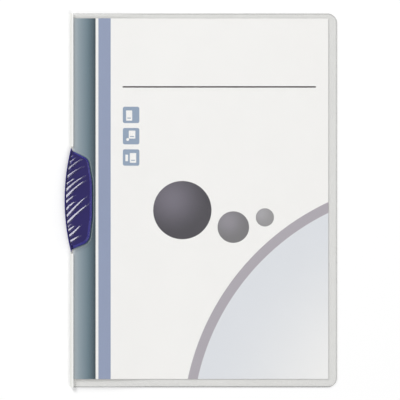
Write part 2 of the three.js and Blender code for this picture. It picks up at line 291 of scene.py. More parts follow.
@dataclass(frozen=True)
class Stack:
    """Heights of the layers, which come down from the clip's plate to the table."""

    film: float = 0.4 * MM
    sheet: float = 0.2 * MM
    layer_gap: float = 0.1 * MM
    slide_gap: float = 0.15 * MM
    lip_gap: float = 0.2 * MM
    plate: float = 1.2 * MM
    spine_depth: float = 2.55 * MM
    settle_start: float = 28.5 * MM
    settle_length: float = 42 * MM
    cover_settle: float = 60 * MM
    bends: int = 36

    def back(self, x: float) -> float:
        """Underside of the back cover at x from the spine."""
        t = (x - self.settle_start) / self.settle_length
        return (self.plate + self.slide_gap) * (1 - smooth_step(t))

    def paper(self, x: float) -> float:
        """Underside of the sheet at x from the spine."""
        return self.back(x) + self.film + self.layer_gap

    @property
    def crease(self) -> float:
        """Height of the front crease."""
        return self.plate + self.slide_gap + self.spine_depth - self.film

    @property
    def lip(self) -> float:
        """Height of the jaw's lip over the sheet."""
        return self.paper(0) + self.sheet + self.lip_gap

    def front(self, x: float) -> float:
        """Underside of the front cover.

        Args:
            x: Distance from the spine.

        Returns:
            Its height there.
        """
        base = self.paper(x) + self.sheet + self.slide_gap
        rise = self.crease - self.paper(0) - self.sheet - self.slide_gap
        return base + rise * (1 - smooth_step(x / self.cover_settle))

    def stations(self) -> list[float]:
        """Places from the spine at which a layer bends."""
        end = self.settle_start + self.settle_length
        return [SPINE_X + end * (i + 0.5) / self.bends for i in range(self.bends)]


@dataclass(frozen=True)
class Rib:
    """One rib on the jaw: its place below the upper tip, its reach, its slant and its bend."""

    below_tip: float
    reach: float
    lean: float
    bend: float


@dataclass
class SwingClip:
    """The clip: a ribbed jaw, a wall, a leaf-shaped back plate and a pin in its tip."""

    length: float = 86.2 * MM
    centre_y: float = 0.3 * MM
    bulge: float = 5 * MM
    tip_inset: float = 0.4 * MM
    plate_depth: float = 25.5 * MM
    plate_overrun: float = 23 * MM
    ledge: float = 1.4 * MM
    wall: float = 2 * MM
    wall_limit: float = 1.5 * MM
    jaw_depth: float = 17.9 * MM
    tip_setback: float = 2.6 * MM
    shoulder: Point = (14.6 * MM, 9.2 * MM)
    heel: Point = (15.4 * MM, 8.5 * MM)
    foot: float = 1.2 * MM
    foot_inset: float = 0.3 * MM
    border_slope: float = 0.72
    spine_draft: float = 0.3 * MM
    belly: Point = (0.16, 0.17)
    """Shares of the length, below and above the middle, over which the jaw is deepest."""
    corner_radii: tuple[float, ...] = (0, 9 * MM, 60 * MM, 60 * MM, 7 * MM)
    corner_steps: int = 12
    side_points: int = 7
    arc_steps: int = 40
    heights: tuple[float, ...] = (1.75 * MM, 3.92 * MM, 4.9 * MM, 4.8 * MM, 4.1 * MM)
    height_places: tuple[float, ...] = (0, 0.22, 0.5, 0.78, 1)
    fall: float = 1.5 * MM
    skin: float = 1.5 * MM
    pin_radius: float = 0.6 * MM
    pin_from_tip: float = 3.1 * MM
    pin_from_spine: float = 1.3 * MM
    pin_to_wall: float = 3 * MM
    wall_to_heel: float = 0.8 * MM
    step: Point = (1.7 * MM, 0.5 * MM)
    """Width and height of the low step along the outer edge."""
    spike: Point = (1.05 * MM, 1.5 * MM)
    """Width and height of the raised strip on that step."""
    step_overlap: float = 0.2 * MM
    softening: float = 0.3 * MM
    border_width: float = 2.3 * MM
    border_from_edge: float = 3 * MM
    border_tilt: Point = (0.3, 0.85)
    # Upward parts of a face normal between which a face slants enough to get the painted highlight.
    """Upward parts of a face normal between which a face slants as the border does."""
    softening_steps: int = 3
    softening_angle: float = 50
    rib_height: float = 0.92 * MM
    rib_width: float = 2.9 * MM
    rib_long_side: float = 2.3 * MM
    rib_steep_side: float = 0.95 * MM
    rib_wobble: float = 0.12 * MM
    rib_waves: float = 5
    rib_lead: float = 3 * MM
    rib_narrowing: float = 0.7
    rib_fade: float = 2.6
    rib_crown: float = 1.32
    fine_grid: tuple[int, int] = (150, 480)
    coarse_grid: tuple[int, int] = (24, 60)
    grid_margin: float = 3 * MM
    ribs: tuple[Rib, ...] = (
        Rib(10.6 * MM, 7 * MM, 40, 2),
        Rib(15.3 * MM, 11 * MM, 42, 3),
        Rib(20.4 * MM, 18 * MM, 41, 3),
        Rib(26.3 * MM, 20 * MM, 37, 3),
        Rib(32.6 * MM, 11 * MM, 45, 0),
        Rib(37.6 * MM, 24 * MM, 40, 10),
        Rib(42.8 * MM, 25 * MM, 42, 9),
        Rib(46.6 * MM, 12 * MM, 40, 4),
        Rib(52.7 * MM, 13 * MM, 45, 4),
        Rib(58.4 * MM, 27 * MM, 47, 2),
        Rib(63.6 * MM, 27 * MM, 44, 3),
        Rib(66.5 * MM, 6 * MM, 39, 0),
        Rib(69.5 * MM, 9 * MM, 39, 2),
        Rib(73.8 * MM, 16 * MM, 45, -9),
        Rib(78.0 * MM, 12 * MM, 32, -6),
        Rib(83.4 * MM, 5 * MM, 22, 0),
    )
    stack: Stack = field(default_factory=Stack)

    @property
    def top_y(self) -> float:
        """The upper tip."""
        return self.centre_y + self.length / 2

    @property
    def bottom_y(self) -> float:
        """The lower tip."""
        return self.centre_y - self.length / 2

    @property
    def wall_top(self) -> float:
        """Upper end of the wall."""
        return self.top_y - self.pin_from_tip - self.pin_radius - self.pin_to_wall

    @property
    def wall_bottom(self) -> float:
        """Lower end of the wall."""
        return self.bottom_y + self.tip_setback + self.wall_to_heel

    @property
    def ceiling(self) -> float:
        """A height above all of the jaw."""
        return self.stack.lip + self.heights[2] + self.rib_height + MM

    def pin_outline(self, radius: float, steps: int) -> list[Point]:
        """A circle about the pin."""
        return circle(SPINE_X + self.pin_from_spine, self.top_y - self.pin_from_tip, radius, steps)

    @property
    def arc_radius(self) -> float:
        """Radius of the clip's outer edge."""
        sagitta = self.bulge + self.tip_inset
        return ((self.length / 2) ** 2 + sagitta**2) / (2 * sagitta)

    def arc_x(self, y: float, inset: float = 0) -> float:
        """Distance from the spine to the outer edge at y, moved in by inset."""
        radius = self.arc_radius - inset
        return self.arc_radius - self.bulge - math.sqrt(max(radius**2 - (y - self.centre_y) ** 2, 0))

    def ridge(self, y: float) -> float:
        """Height of the jaw's spine edge over the lip.

        Args:
            y: Place along the spine.

        Returns:
            The height there.
        """
        t = min(max((self.top_y - y) / self.length, 0), 1)
        fit = np.polyfit(np.array(self.height_places), np.array(self.heights), len(self.heights) - 1)
        return float(np.polyval(fit, t))

    def jaw_outline(self, inset: float, spine_inset: float) -> list[Point]:
        """Plan outline of the jaw.

        Args:
            inset: How far the straight sides are moved in.
            spine_inset: How far the side along the spine is moved in.

        Returns:
            The points, anticlockwise.
        """
        ends = (
            Vector((self.arc_x(self.bottom_y) + self.ledge, self.bottom_y + self.tip_setback)),
            Vector((self.arc_x(self.top_y) + self.ledge, self.top_y - self.tip_setback)),
        )
        corners = [
            ends[0],
            Vector((self.heel[0], self.bottom_y + self.heel[1])),
            Vector((self.jaw_depth, self.centre_y - self.length * self.belly[0])),
            Vector((self.jaw_depth, self.centre_y + self.length * self.belly[1])),
            Vector((self.shoulder[0], self.top_y - self.shoulder[1])),
            ends[1],
        ]
        sides = []
        for first, second in zip(corners, corners[1:]):
            way = (second - first).normalized()
            sides.append((first + Vector((-way.y, way.x)) * inset, way))
        radius = self.arc_radius - self.ledge - spine_inset
        centre = Vector((self.arc_radius - self.bulge, self.centre_y))

        def meet_arc(side: tuple[Vector, Vector], near: Vector) -> Vector:
            """Where a side's line meets the arc along the spine.

            Args:
                side: A point and the direction of the line.
                near: The point that picks one of the two crossings.

            Returns:
                The crossing.
            """
            point, way = side
            out = point - centre
            b = out.dot(way)
            root = math.sqrt(b * b - out.length_squared + radius**2)
            hits = [point + way * (-b - root), point + way * (-b + root)]
            return min(hits, key=lambda hit: abs(hit.x - near.x))

        moved = [meet_arc(sides[0], corners[0])]
        for (p, d), (q, e) in zip(sides, sides[1:]):
            t = ((q.x - p.x) * e.y - (q.y - p.y) * e.x) / (d.x * e.y - d.y * e.x)
            moved.append(p + d * t)
        moved.append(meet_arc(sides[-1], corners[-1]))
        outline = [tuple(moved[0])]
        for i in range(1, 5):
            radius_here = self.corner_radii[i] - inset
            corner = round_corner(moved[i - 1], moved[i], moved[i + 1], radius_here, self.corner_steps)
            outline += points_between(outline[-1], corner[0], self.side_points) + corner
        outline += points_between(outline[-1], tuple(moved[5]), self.side_points)
        outline.append(tuple(moved[5]))
        for i in range(1, self.arc_steps):
            y = moved[5].y + (moved[0].y - moved[5].y) * i / self.arc_steps
            outline.append((centre.x - math.sqrt(radius**2 - (y - centre.y) ** 2), y))
        return [(SPINE_X + x, y) for x, y in outline]

    def leaf_outline(self) -> list[Point]:
        """Plan outline of the back plate.

        Returns:
            The points, anticlockwise.
        """
        arc_end = self.bottom_y - self.plate_overrun * 0.55
        end = self.bottom_y - self.plate_overrun
        points = []
        steps = 60
        for i in range(steps + 1):
            y = self.top_y + (arc_end - self.top_y) * i / steps
            points.append((self.arc_x(y), y))
        depth = self.plate_depth
        start_x = self.arc_x(arc_end)
        tip = (self.tip_inset, self.top_y)
        curves = [
            [
                (start_x, arc_end),
                (start_x + 3.6 * MM, end),
                (depth - 9 * MM, end),
                (depth - 3 * MM, arc_end + MM),
            ],
            [
                (depth - 3 * MM, arc_end + MM),
                (depth + 1.5 * MM, arc_end + 12 * MM),
                (depth, self.centre_y - 16 * MM),
                (depth - 3.5 * MM, self.centre_y),
            ],
            [
                (depth - 3.5 * MM, self.centre_y),
                (depth - 7.5 * MM, self.centre_y + 17 * MM),
                (10 * MM, self.top_y - 10 * MM),
                tip,
            ],
        ]
        for a, b, c, d in curves:
            for i in range(1, 21):
                t = i / 20
                w = ((1 - t) ** 3, 3 * t * (1 - t) ** 2, 3 * t * t * (1 - t), t**3)
                points.append(tuple(sum(k * p[axis] for k, p in zip(w, (a, b, c, d))) for axis in (0, 1)))
        points.pop()
        return [(SPINE_X + x, y) for x, y in points]

    def rib_lines(self) -> list[tuple[np.ndarray, float]]:
        """Centre lines of the ribs.

        Returns:
            For each rib its points from the spine edge inwards, and its strength.
        """
        lines = []
        steps = 16
        for rib in self.ribs:
            start_y = self.top_y - rib.below_tip
            point = np.array([self.arc_x(start_y) + self.ledge - self.rib_width / 4, start_y])
            points = [point]
            for k in range(steps):
                angle = math.radians(rib.lean + rib.bend * (1 - 2 * k / (steps - 1)))
                point = point + np.array([math.cos(angle), math.sin(angle)]) * rib.reach / steps
                points.append(point)
            lines.append((np.array(points), 1 - 0.1 * rib.below_tip / self.length))
        return lines

    def jaw_heights(self, x: np.ndarray, y: np.ndarray, with_ribs: bool = True) -> np.ndarray:
        """Height of the jaw's top.

        Args:
            x: Distances from the spine.
            y: Places along the spine.
            with_ribs: Whether the ribs stand on it.

        Returns:
            The height at each place.
        """
        ridge = np.array([self.ridge(v) for v in y])
        edge = np.array([self.arc_x(v) for v in y])
        across = np.clip((x - edge) / (self.jaw_depth + self.bulge), 0, 1)
        base = self.stack.lip + ridge - self.fall * (ridge / self.heights[2]) * across**1.5
        if not with_ribs:
            return base
        rise = np.zeros_like(base)
        for phase, (points, strength) in enumerate(self.rib_lines()):
            offset = np.full(x.shape, 1.0)
            where = np.zeros_like(offset)
            count = len(points) - 1
            for k in range(count):
                a, b = points[k], points[k + 1]
                span = np.linalg.norm(b - a)
                way = (b - a) / span
                out_x, out_y = x - a[0], y - a[1]
                t = np.clip(out_x * way[0] + out_y * way[1], 0 if k else -self.rib_lead, span)
                dx, dy = out_x - way[0] * t, out_y - way[1] * t
                along = (k + t / span) / count
                side = np.where(way[0] * dy - way[1] * dx < 0, -1.0, 1.0)
                shift = self.rib_wobble * np.sin(along * self.rib_waves + phase)
                distance = side * np.hypot(dx, dy) + shift
                nearer = np.abs(distance) < np.abs(offset)
                offset = np.where(nearer, distance, offset)
                where = np.where(nearer, along, where)
            where = np.clip(where, 0, 1)
            flank = np.where(offset > 0, self.rib_long_side, self.rib_steep_side)
            flank = flank * (1 - self.rib_narrowing * where)
            slope = np.clip(1 - np.abs(offset) / flank, 0, 1)
            height = self.rib_height * strength * (1 - where**self.rib_fade)
            rise = np.maximum(rise, height * slope**self.rib_crown)
        return base + rise

    def block_under(self, with_ribs: bool, drop: float = 0) -> bpy.types.Object:
        """Model a block whose top is the jaw's top surface.

        Args:
            with_ribs: Whether the ribs stand on it.
            drop: How far the top is lowered.

        Returns:
            The block.
        """
        columns, rows = self.fine_grid if with_ribs else self.coarse_grid
        margin = self.grid_margin
        low_x, high_x = -self.bulge - margin, self.jaw_depth + margin
        low_y, high_y = self.bottom_y - margin, self.top_y + margin
        Bench.clear()
        bpy.ops.mesh.primitive_grid_add(x_subdivisions=columns, y_subdivisions=rows, size=1)
        block = bpy.context.object
        block.scale = (high_x - low_x, high_y - low_y, 1)
        block.location = ((low_x + high_x) / 2, (low_y + high_y) / 2, 0)
        Bench.settle(block)
        places = np.array([v.co[:2] for v in block.data.vertices])
        heights = self.jaw_heights(places[:, 0], places[:, 1], with_ribs) - drop
        if drop:
            heights = np.maximum(heights, self.stack.lip + 0.2 * MM)
        for vertex, height in zip(block.data.vertices, heights):
            vertex.co.x += SPINE_X
            vertex.co.z = height
        floor = self.stack.lip - MM
        Bench.edit(block)
        bpy.ops.mesh.extrude_region_move(TRANSFORM_OT_translate={"value": (0, 0, -20 * MM)})
        bpy.ops.transform.resize(value=(1, 1, 0), center_override=(0, 0, floor))
        bpy.ops.mesh.select_all(action="SELECT")
        bpy.ops.mesh.normals_make_consistent(inside=False)
        Bench.clear()
        return block

    def drafted(self) -> bpy.types.Object:
        """Model the jaw's blank, with sloping sides.

        Returns:
            The blank, higher than the jaw.
        """
        foot_top = self.stack.lip + self.foot
        rise = self.ceiling - foot_top
        blank = Bench.slab("jaw", self.jaw_outline(0, 0), self.stack.lip, foot_top)
        half = len(blank.data.vertices) // 2
        rim = self.jaw_outline(self.foot_inset, self.spine_draft)
        for vertex, (x, y) in zip(list(blank.data.vertices)[half:], rim):
            vertex.co.x, vertex.co.y = x, y
        Bench.edit(blank)
        bpy.ops.mesh.select_all(action="DESELECT")
        Bench.clear()
        for face in blank.data.polygons:
            face.select = face.normal.z > 0.9
        Bench.take(blank)
        bpy.ops.object.mode_set(mode="EDIT")
        bpy.ops.mesh.extrude_region_move(TRANSFORM_OT_translate={"value": (0, 0, rise)})
        Bench.clear()
        top = [v for v in blank.data.vertices if v.co.z > self.ceiling - 0.1 * MM]
        rim = self.jaw_outline(self.foot_inset + self.border_slope * rise, self.spine_draft)
        for vertex, (x, y) in zip(top, rim):
            vertex.co.x, vertex.co.y = x, y
        return blank

    def mark_border_highlight(self, piece: bpy.types.Object) -> None:
        """Store on each face whether it gets the painted highlight: the slanted faces of the smooth band
        round the ribs and the upward faces along the outer edge.

        Args:
            piece: The moulding, which gets a face attribute that marks the painted highlight.
        """
        centres = np.array([face.center[:] for face in piece.data.polygons])
        x, y = centres[:, 0], centres[:, 1]
        tilt = np.array([face.normal.z for face in piece.data.polygons])
        outline = np.array(self.jaw_outline(self.border_width, self.border_width))
        inside = np.zeros(len(x), dtype=bool)
        for (ax, ay), (bx, by) in zip(outline, np.roll(outline, -1, axis=0)):
            if ay != by:
                crosses = (ay > y) != (by > y)
                inside ^= crosses & (x < ax + (y - ay) * (bx - ax) / (by - ay))
        edge = np.array([self.arc_x(v) for v in y]) + SPINE_X
        least, most = self.border_tilt
        slanting = (tilt > least) & (tilt < most) & (centres[:, 2] > self.stack.lip)
        # Slanted faces away from the ribs and upward faces along the outer edge are marked for a lighter
        # colour: a painted highlight.
        border_highlight = ~inside & (x > edge + self.border_from_edge) & slanting
        border_highlight |= (x < edge + self.ledge) & (tilt > 0.05)
        mark = piece.data.attributes.new("border_highlight", "FLOAT", "FACE")
        mark.data.foreach_set("value", border_highlight.astype(np.float32))

    def edge_outline(self, width: float) -> list[Point]:
        """Plan outline of a pointed strip along the outer edge, from tip to tip.

        Args:
            width: Width of the strip away from its points.

        Returns:
            The points, anticlockwise.
        """
        outside, inside = [], []
        for i in range(61):
            y = self.top_y + (self.bottom_y - self.top_y) * i / 60
            outside.append((SPINE_X + self.arc_x(y) + 0.05 * MM, y))
            if 0 < i < 60:
                from_tip = min(self.top_y - y, y - self.bottom_y)
                inside.append((SPINE_X + self.arc_x(y) + min(width, 0.2 * MM + from_tip * 0.5), y))
        return outside + inside[::-1]

    def build(self) -> bpy.types.Object:
        """Model the clip as one moulding.

        Returns:
            The finished piece.
        """
        lip, plate_middle = self.stack.lip, self.stack.plate / 2
        jaw = self.drafted()
        Bench.combine(jaw, self.block_under(True), Joining.INTERSECT)
        hollow = self.block_under(False, self.skin)
        inner = self.jaw_outline(self.skin * 1.4, self.wall + self.spine_draft)
        Bench.combine(hollow, Bench.slab("room", inner, lip - 2 * MM, self.ceiling), Joining.INTERSECT)
        Bench.combine(jaw, hollow, Joining.DIFFERENCE)

        outside, inside = [], []
        for i in range(41):
            y = self.wall_top + (self.wall_bottom - self.wall_top) * i / 40
            outer = self.arc_x(y) + self.ledge + self.spine_draft
            outside.append((SPINE_X + outer, y))
            inside.append((SPINE_X + min(outer + self.wall, self.wall_limit), y))
        wall = Bench.slab("wall", outside + inside[::-1], plate_middle, lip + self.heights[0] * 0.8)

        step = Bench.slab("step", self.edge_outline(self.step[0]), lip, lip + self.step[1])
        Bench.combine(jaw, step, Joining.UNION)
        spike_outline = self.edge_outline(self.spike[0])
        spike = Bench.slab("spike", spike_outline, lip + self.step_overlap, lip + self.spike[1])
        Bench.soften(spike, self.softening, self.softening_steps, self.softening_angle)
        Bench.combine(jaw, spike, Joining.UNION)
        Bench.combine(jaw, wall, Joining.UNION)
        plate = Bench.slab("plate", self.leaf_outline(), 0, self.stack.plate)
        Bench.soften(plate, self.softening, self.softening_steps, self.softening_angle)
        Bench.combine(jaw, plate, Joining.UNION)
        pin_outline = self.pin_outline(self.pin_radius, 32)
        pin = Bench.slab("pin", pin_outline, plate_middle, lip + self.heights[0] / 2)
        Bench.combine(jaw, pin, Joining.UNION)
        jaw.name = "clip_moulding"
        self.mark_border_highlight(jaw)
        Bench.smooth(jaw, SMOOTH_MOULDING)
        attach(jaw, Body.CLIP.value)
        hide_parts("clip")
        return jaw


@dataclass
class FilmCover:
    """The folded film: its front panel, and its back panel with the spine strip."""

    width: float = 219.5 * MM
    height: float = 308 * MM
    corner: float = 8 * MM
    cut_clearance: float = MM
    rim: float = 0.4 * MM
    burr: float = 0.03 * MM
    front_cut: float = 2.3 * MM
    back_cut: float = 1.9 * MM
    past_spine: float = 10 * MM
    wall_play: float = 0.4 * MM
    pin_play: float = 0.12 * MM
    stack: Stack = field(default_factory=Stack)
    clip: SwingClip = field(default_factory=SwingClip)

    def panel(self, name: str, thickness: float) -> bpy.types.Object:
        """Model a flat film panel with round corners at the fore edge.

        Args:
            name: The piece's name.
            thickness: Thickness of the film.

        Returns:
            The panel.
        """
        left, right = SPINE_X, SPINE_X + self.width
        half = self.height / 2
        corners = [Vector((left, -half)), Vector((right, -half)), Vector((right, half)), Vector((left, half))]
        outline = [tuple(corners[0])]
        outline += round_corner(corners[0], corners[1], corners[2], self.corner, 16)
        outline += round_corner(corners[1], corners[2], corners[3], self.corner, 16)
        outline.append(tuple(corners[3]))
        return Bench.slab(name, outline, 0, thickness)

    def spine_cutter(self, depth: float, low_y: float, high_y: float) -> bpy.types.Object:
        """Model a cutter from past the spine into the film.

        Args:
            depth: How far it reaches in from the spine.
            low_y: Its lower end.
            high_y: Its upper end.

        Returns:
            The cutter.
        """
        low_x = -self.past_spine
        outline = [(low_x, low_y), (depth, low_y), (depth, high_y), (low_x, high_y)]
        return Bench.slab("cutter", [(SPINE_X + x, y) for x, y in outline], CUTTER_LOW, CUTTER_HIGH)

    def round_cutter(self, radius: float) -> bpy.types.Object:
        """Model a round cutter about the clip's pin."""
        return Bench.slab("cutter", self.clip.pin_outline(radius, 48), CUTTER_LOW, CUTTER_HIGH)

    def build_front(self) -> bpy.types.Object:
        """Model the front panel with its cut-out for the jaw.

        Returns:
            The finished piece.
        """
        film = self.panel("front_film", self.stack.film)
        gap = self.cut_clearance
        notch = Bench.slab("cutter", self.clip.jaw_outline(-gap, -gap), CUTTER_LOW, CUTTER_HIGH)
        Bench.combine(film, notch, Joining.DIFFERENCE)
        rim_outline = self.clip.jaw_outline(-gap - self.rim, -gap - self.rim)
        rim = Bench.slab("rim", rim_outline, 0, self.stack.film + self.burr)
        opening = Bench.slab("cutter", self.clip.jaw_outline(-gap, -gap), -MM, 2 * MM)
        Bench.combine(rim, opening, Joining.DIFFERENCE)
        Bench.combine(film, rim, Joining.UNION)
        Bench.combine(film, self.round_cutter(self.clip.pin_from_tip + gap), Joining.DIFFERENCE)
        low, high = self.clip.bottom_y - gap, self.clip.top_y + gap
        Bench.combine(film, self.spine_cutter(self.front_cut, low, high), Joining.DIFFERENCE)
        Bench.slice_along_x(film, self.stack.stations())
        # The burr's top faces are marked so that the film's material paints them more opaque: a painted
        # highlight along the cut edge of the notch.
        mark = film.data.attributes.new("rim", "FLOAT", "FACE")
        for face in film.data.polygons:
            mark.data[face.index].value = float(face.center.z > self.stack.film + self.burr / 2)
        Bench.lay(film, lambda x, y: self.stack.front(x - SPINE_X))
        Bench.smooth(film, SMOOTH_FILM)
        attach(film, Body.COVER.value)
        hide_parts("front_cover")
        return film

    def build_back(self) -> bpy.types.Object:
        """Model the back panel and the spine strip.

        Returns:
            The finished piece.
        """
        film = self.panel("back_film", self.stack.film)
        low, high = self.clip.wall_bottom - self.cut_clearance, self.clip.wall_top + self.wall_play
        Bench.combine(film, self.spine_cutter(self.back_cut, low, high), Joining.DIFFERENCE)
        Bench.combine(film, self.round_cutter(self.clip.pin_radius + self.pin_play), Joining.DIFFERENCE)
        Bench.slice_along_x(film, self.stack.stations())
        Bench.lay(film, lambda x, y: self.stack.back(x - SPINE_X))
        low, high = self.clip.bottom_y - self.cut_clearance, self.clip.top_y + self.cut_clearance
        half = self.height / 2
        base = self.stack.back(0) + self.stack.film / 2
        top = self.stack.crease - self.stack.layer_gap
        for start, end in ((-half, low), (high, half)):
            outline = [(0, start), (self.stack.film, start), (self.stack.film, end), (0, end)]
            strip = Bench.slab("spine", [(SPINE_X + x, y) for x, y in outline], base, top)
            Bench.combine(film, strip, Joining.UNION)
        Bench.smooth(film, SMOOTH_FILM)
        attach(film, Body.FOLDER.value)
        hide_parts("back_cover")
        return film


@dataclass
class InsertSheet:
    """The printed A4 sheet."""

    width: float = 210 * MM
    height: float = 297 * MM
    spine_margin: float = 2.3 * MM
    top_margin: float = 4.1 * MM
    cover_height: float = 308 * MM
    stack: Stack = field(default_factory=Stack)

    def build(self) -> bpy.types.Object:
        """Model the sheet as it lies over the back cover.

        Returns:
            The finished piece.
        """
        left = SPINE_X + self.spine_margin
        top = self.cover_height / 2 - self.top_margin
        bottom = top - self.height
        outline = [(left, bottom), (left + self.width, bottom), (left + self.width, top), (left, top)]
        sheet = Bench.slab("printed_sheet", outline, 0, self.stack.sheet)
        Bench.slice_along_x(sheet, self.stack.stations())
        Bench.lay(sheet, lambda x, y: self.stack.paper(x - SPINE_X))
        Bench.smooth(sheet, SMOOTH_FILM)
        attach(sheet, Body.FOLDER.value)
        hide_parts("insert_sheet")
        return sheet


class Nodes:
    """A short way to write node trees."""

    def __init__(self, tree: bpy.types.NodeTree) -> None:
        """Write into a tree."""
        self.tree = tree

    def add(self, kind: str, **settings: object) -> bpy.types.Node:
        """Add a node.

        Args:
            kind: The node's type.
            settings: Its properties, by name.

        Returns:
            The node.
        """
        node = self.tree.nodes.new(kind)
        for name, value in settings.items():
            setattr(node, name, value)
        return node

    def link(self, source: object, target: object) -> None:
        """Join two sockets."""
        self.tree.links.new(source, target)

    def put(self, socket: object, value: object) -> None:
        """Give a socket a value, or link another socket to it.

        Args:
            socket: The socket that is set.
            value: A value or the other socket.
        """
        if isinstance(value, bpy.types.NodeSocket):
            self.link(value, socket)
        else:
            socket.default_value = value

    def math(self, operation: str, a: object, b: object = 0.0, clamp: bool = False) -> object:
        """Add a math node.

        Args:
            operation: The node's operation.
            a: First value or socket.
            b: Second value or socket.
            clamp: Whether the result stays between 0 and 1.

        Returns:
            The result's socket.
        """
        node = self.add("ShaderNodeMath", operation=operation, use_clamp=clamp)
        self.put(node.inputs[0], a)
        self.put(node.inputs[1], b)
        return node.outputs[0]

    def length(self, a: object, b: object) -> object:
        """Length of a plan vector."""
        return self.math("SQRT", self.math("ADD", self.math("MULTIPLY", a, a), self.math("MULTIPLY", b, b)))

    def plan(self, place: object) -> tuple[object, object]:
        """Split a place into its two plan parts.

        Args:
            place: Socket of the place.

        Returns:
            Distance from the spine and place along it, both in millimetres.
        """
        split = self.add("ShaderNodeSeparateXYZ")
        self.link(place, split.inputs[0])
        x = self.math("MULTIPLY", self.math("SUBTRACT", split.outputs["X"], SPINE_X), 1 / MM)
        return x, self.math("MULTIPLY", split.outputs["Y"], 1 / MM)

    def ramp(self, value: object, low: float, high: float) -> object:
        """Map a value smoothly to 0 to 1.

        Args:
            value: Value or socket.
            low: Where the result is 0.
            high: Where the result is 1.

        Returns:
            The result's socket.
        """
        node = self.add("ShaderNodeMapRange", interpolation_type="SMOOTHSTEP")
        self.put(node.inputs["Value"], value)
        node.inputs["From Min"].default_value = low
        node.inputs["From Max"].default_value = high
        return node.outputs["Result"]

    def stops(self, value: object, colours: Sequence[tuple[float, tuple[float, ...]]]) -> object:
        """Turn a value into a colour.

        Args:
            value: Value or socket.
            colours: Values in rising order, each with its colour.

        Returns:
            The colour's socket.
        """
        low, high = colours[0][0], colours[-1][0]
        share = self.add("ShaderNodeMapRange")
        self.put(share.inputs["Value"], value)
        share.inputs["From Min"].default_value = low
        share.inputs["From Max"].default_value = high
        node = self.add("ShaderNodeValToRGB")
        self.link(share.outputs["Result"], node.inputs["Fac"])
        elements = node.color_ramp.elements
        elements[0].color, elements[1].color = colours[0][1], colours[-1][1]
        for place, colour in colours[1:-1]:
            elements.new((place - low) / (high - low)).color = colour
        return node.outputs["Color"]

    def blend(self, share: object, a: object, b: object) -> object:
        """Mix two colours.

        Args:
            share: Share of the second colour, a value or socket.
            a: First colour or socket.
            b: Second colour or socket.

        Returns:
            The colour's socket.
        """
        node = self.add("ShaderNodeMix", data_type="RGBA")
        self.put(node.inputs["Factor"], share)
        self.put(node.inputs[6], a)
        self.put(node.inputs[7], b)
        return node.outputs[2]

    def grain(self, shader: bpy.types.Node, place: object, **settings: float) -> None:
        """Give a shader uneven roughness and a fine grain.

        Args:
            shader: The main shader.
            place: Where the pattern is read.
            settings: Values of the grain group's sockets, by name.
        """
        group = self.add("ShaderNodeGroup", node_tree=grain_group())
        self.link(place, group.inputs["place"])
        for name, value in settings.items():
            group.inputs[name].default_value = value
        self.link(group.outputs["Roughness"], shader.inputs["Roughness"])
        self.link(group.outputs["Normal"], shader.inputs["Normal"])

    def noise(self, place: object, scale: object, detail: float = 2.0) -> object:
        """Add noise.

        Args:
            place: Socket of the place.
            scale: Scale of the noise, a value or socket.
            detail: Detail of the noise.

        Returns:
            The socket of its value.
        """
        node = self.add("ShaderNodeTexNoise")
        self.put(node.inputs["Vector"], place)
        self.put(node.inputs["Scale"], scale)
        node.inputs["Detail"].default_value = detail
        return node.outputs["Fac"]


def grain_group() -> bpy.types.NodeTree:
    """Build the node group of uneven roughness and fine grain, once.

    Returns:
        The group's tree.
    """
    name = "surface_grain"
    if name in bpy.data.node_groups:
        return bpy.data.node_groups[name]
    tree = bpy.data.node_groups.new(name, "ShaderNodeTree")
    tree.interface.new_socket("place", in_out="INPUT", socket_type="NodeSocketVector")
    for socket in ("fine", "coarse", "roughness", "spread", "depth"):
        tree.interface.new_socket(socket, in_out="INPUT", socket_type="NodeSocketFloat")
    tree.interface.new_socket("Roughness", in_out="OUTPUT", socket_type="NodeSocketFloat")
    tree.interface.new_socket("Normal", in_out="OUTPUT", socket_type="NodeSocketVector")
    nodes = Nodes(tree)
    given = nodes.add("NodeGroupInput").outputs
    result = nodes.add("NodeGroupOutput").inputs
    patch = nodes.math("SUBTRACT", nodes.noise(given["place"], given["coarse"]), 0.5)
    rough = nodes.math("ADD", given["roughness"], nodes.math("MULTIPLY", patch, given["spread"]))
    nodes.link(rough, result["Roughness"])
    bump = nodes.add("ShaderNodeBump")
    bump.inputs["Distance"].default_value = 0.05 * MM
    nodes.link(given["depth"], bump.inputs["Strength"])
    nodes.link(nodes.noise(given["place"], given["fine"]), bump.inputs["Height"])
    nodes.link(bump.outputs["Normal"], result["Normal"])
    return tree


def new_material(name: str) -> tuple[bpy.types.Material, Nodes, bpy.types.Node]:
    """Start a material.

    Args:
        name: The material's name.

    Returns:
        The material, its tree's writer and its main shader.
    """
    material = bpy.data.materials.new(name)
    material.use_nodes = True
    nodes = Nodes(material.node_tree)
    return material, nodes, material.node_tree.nodes["Principled BSDF"]


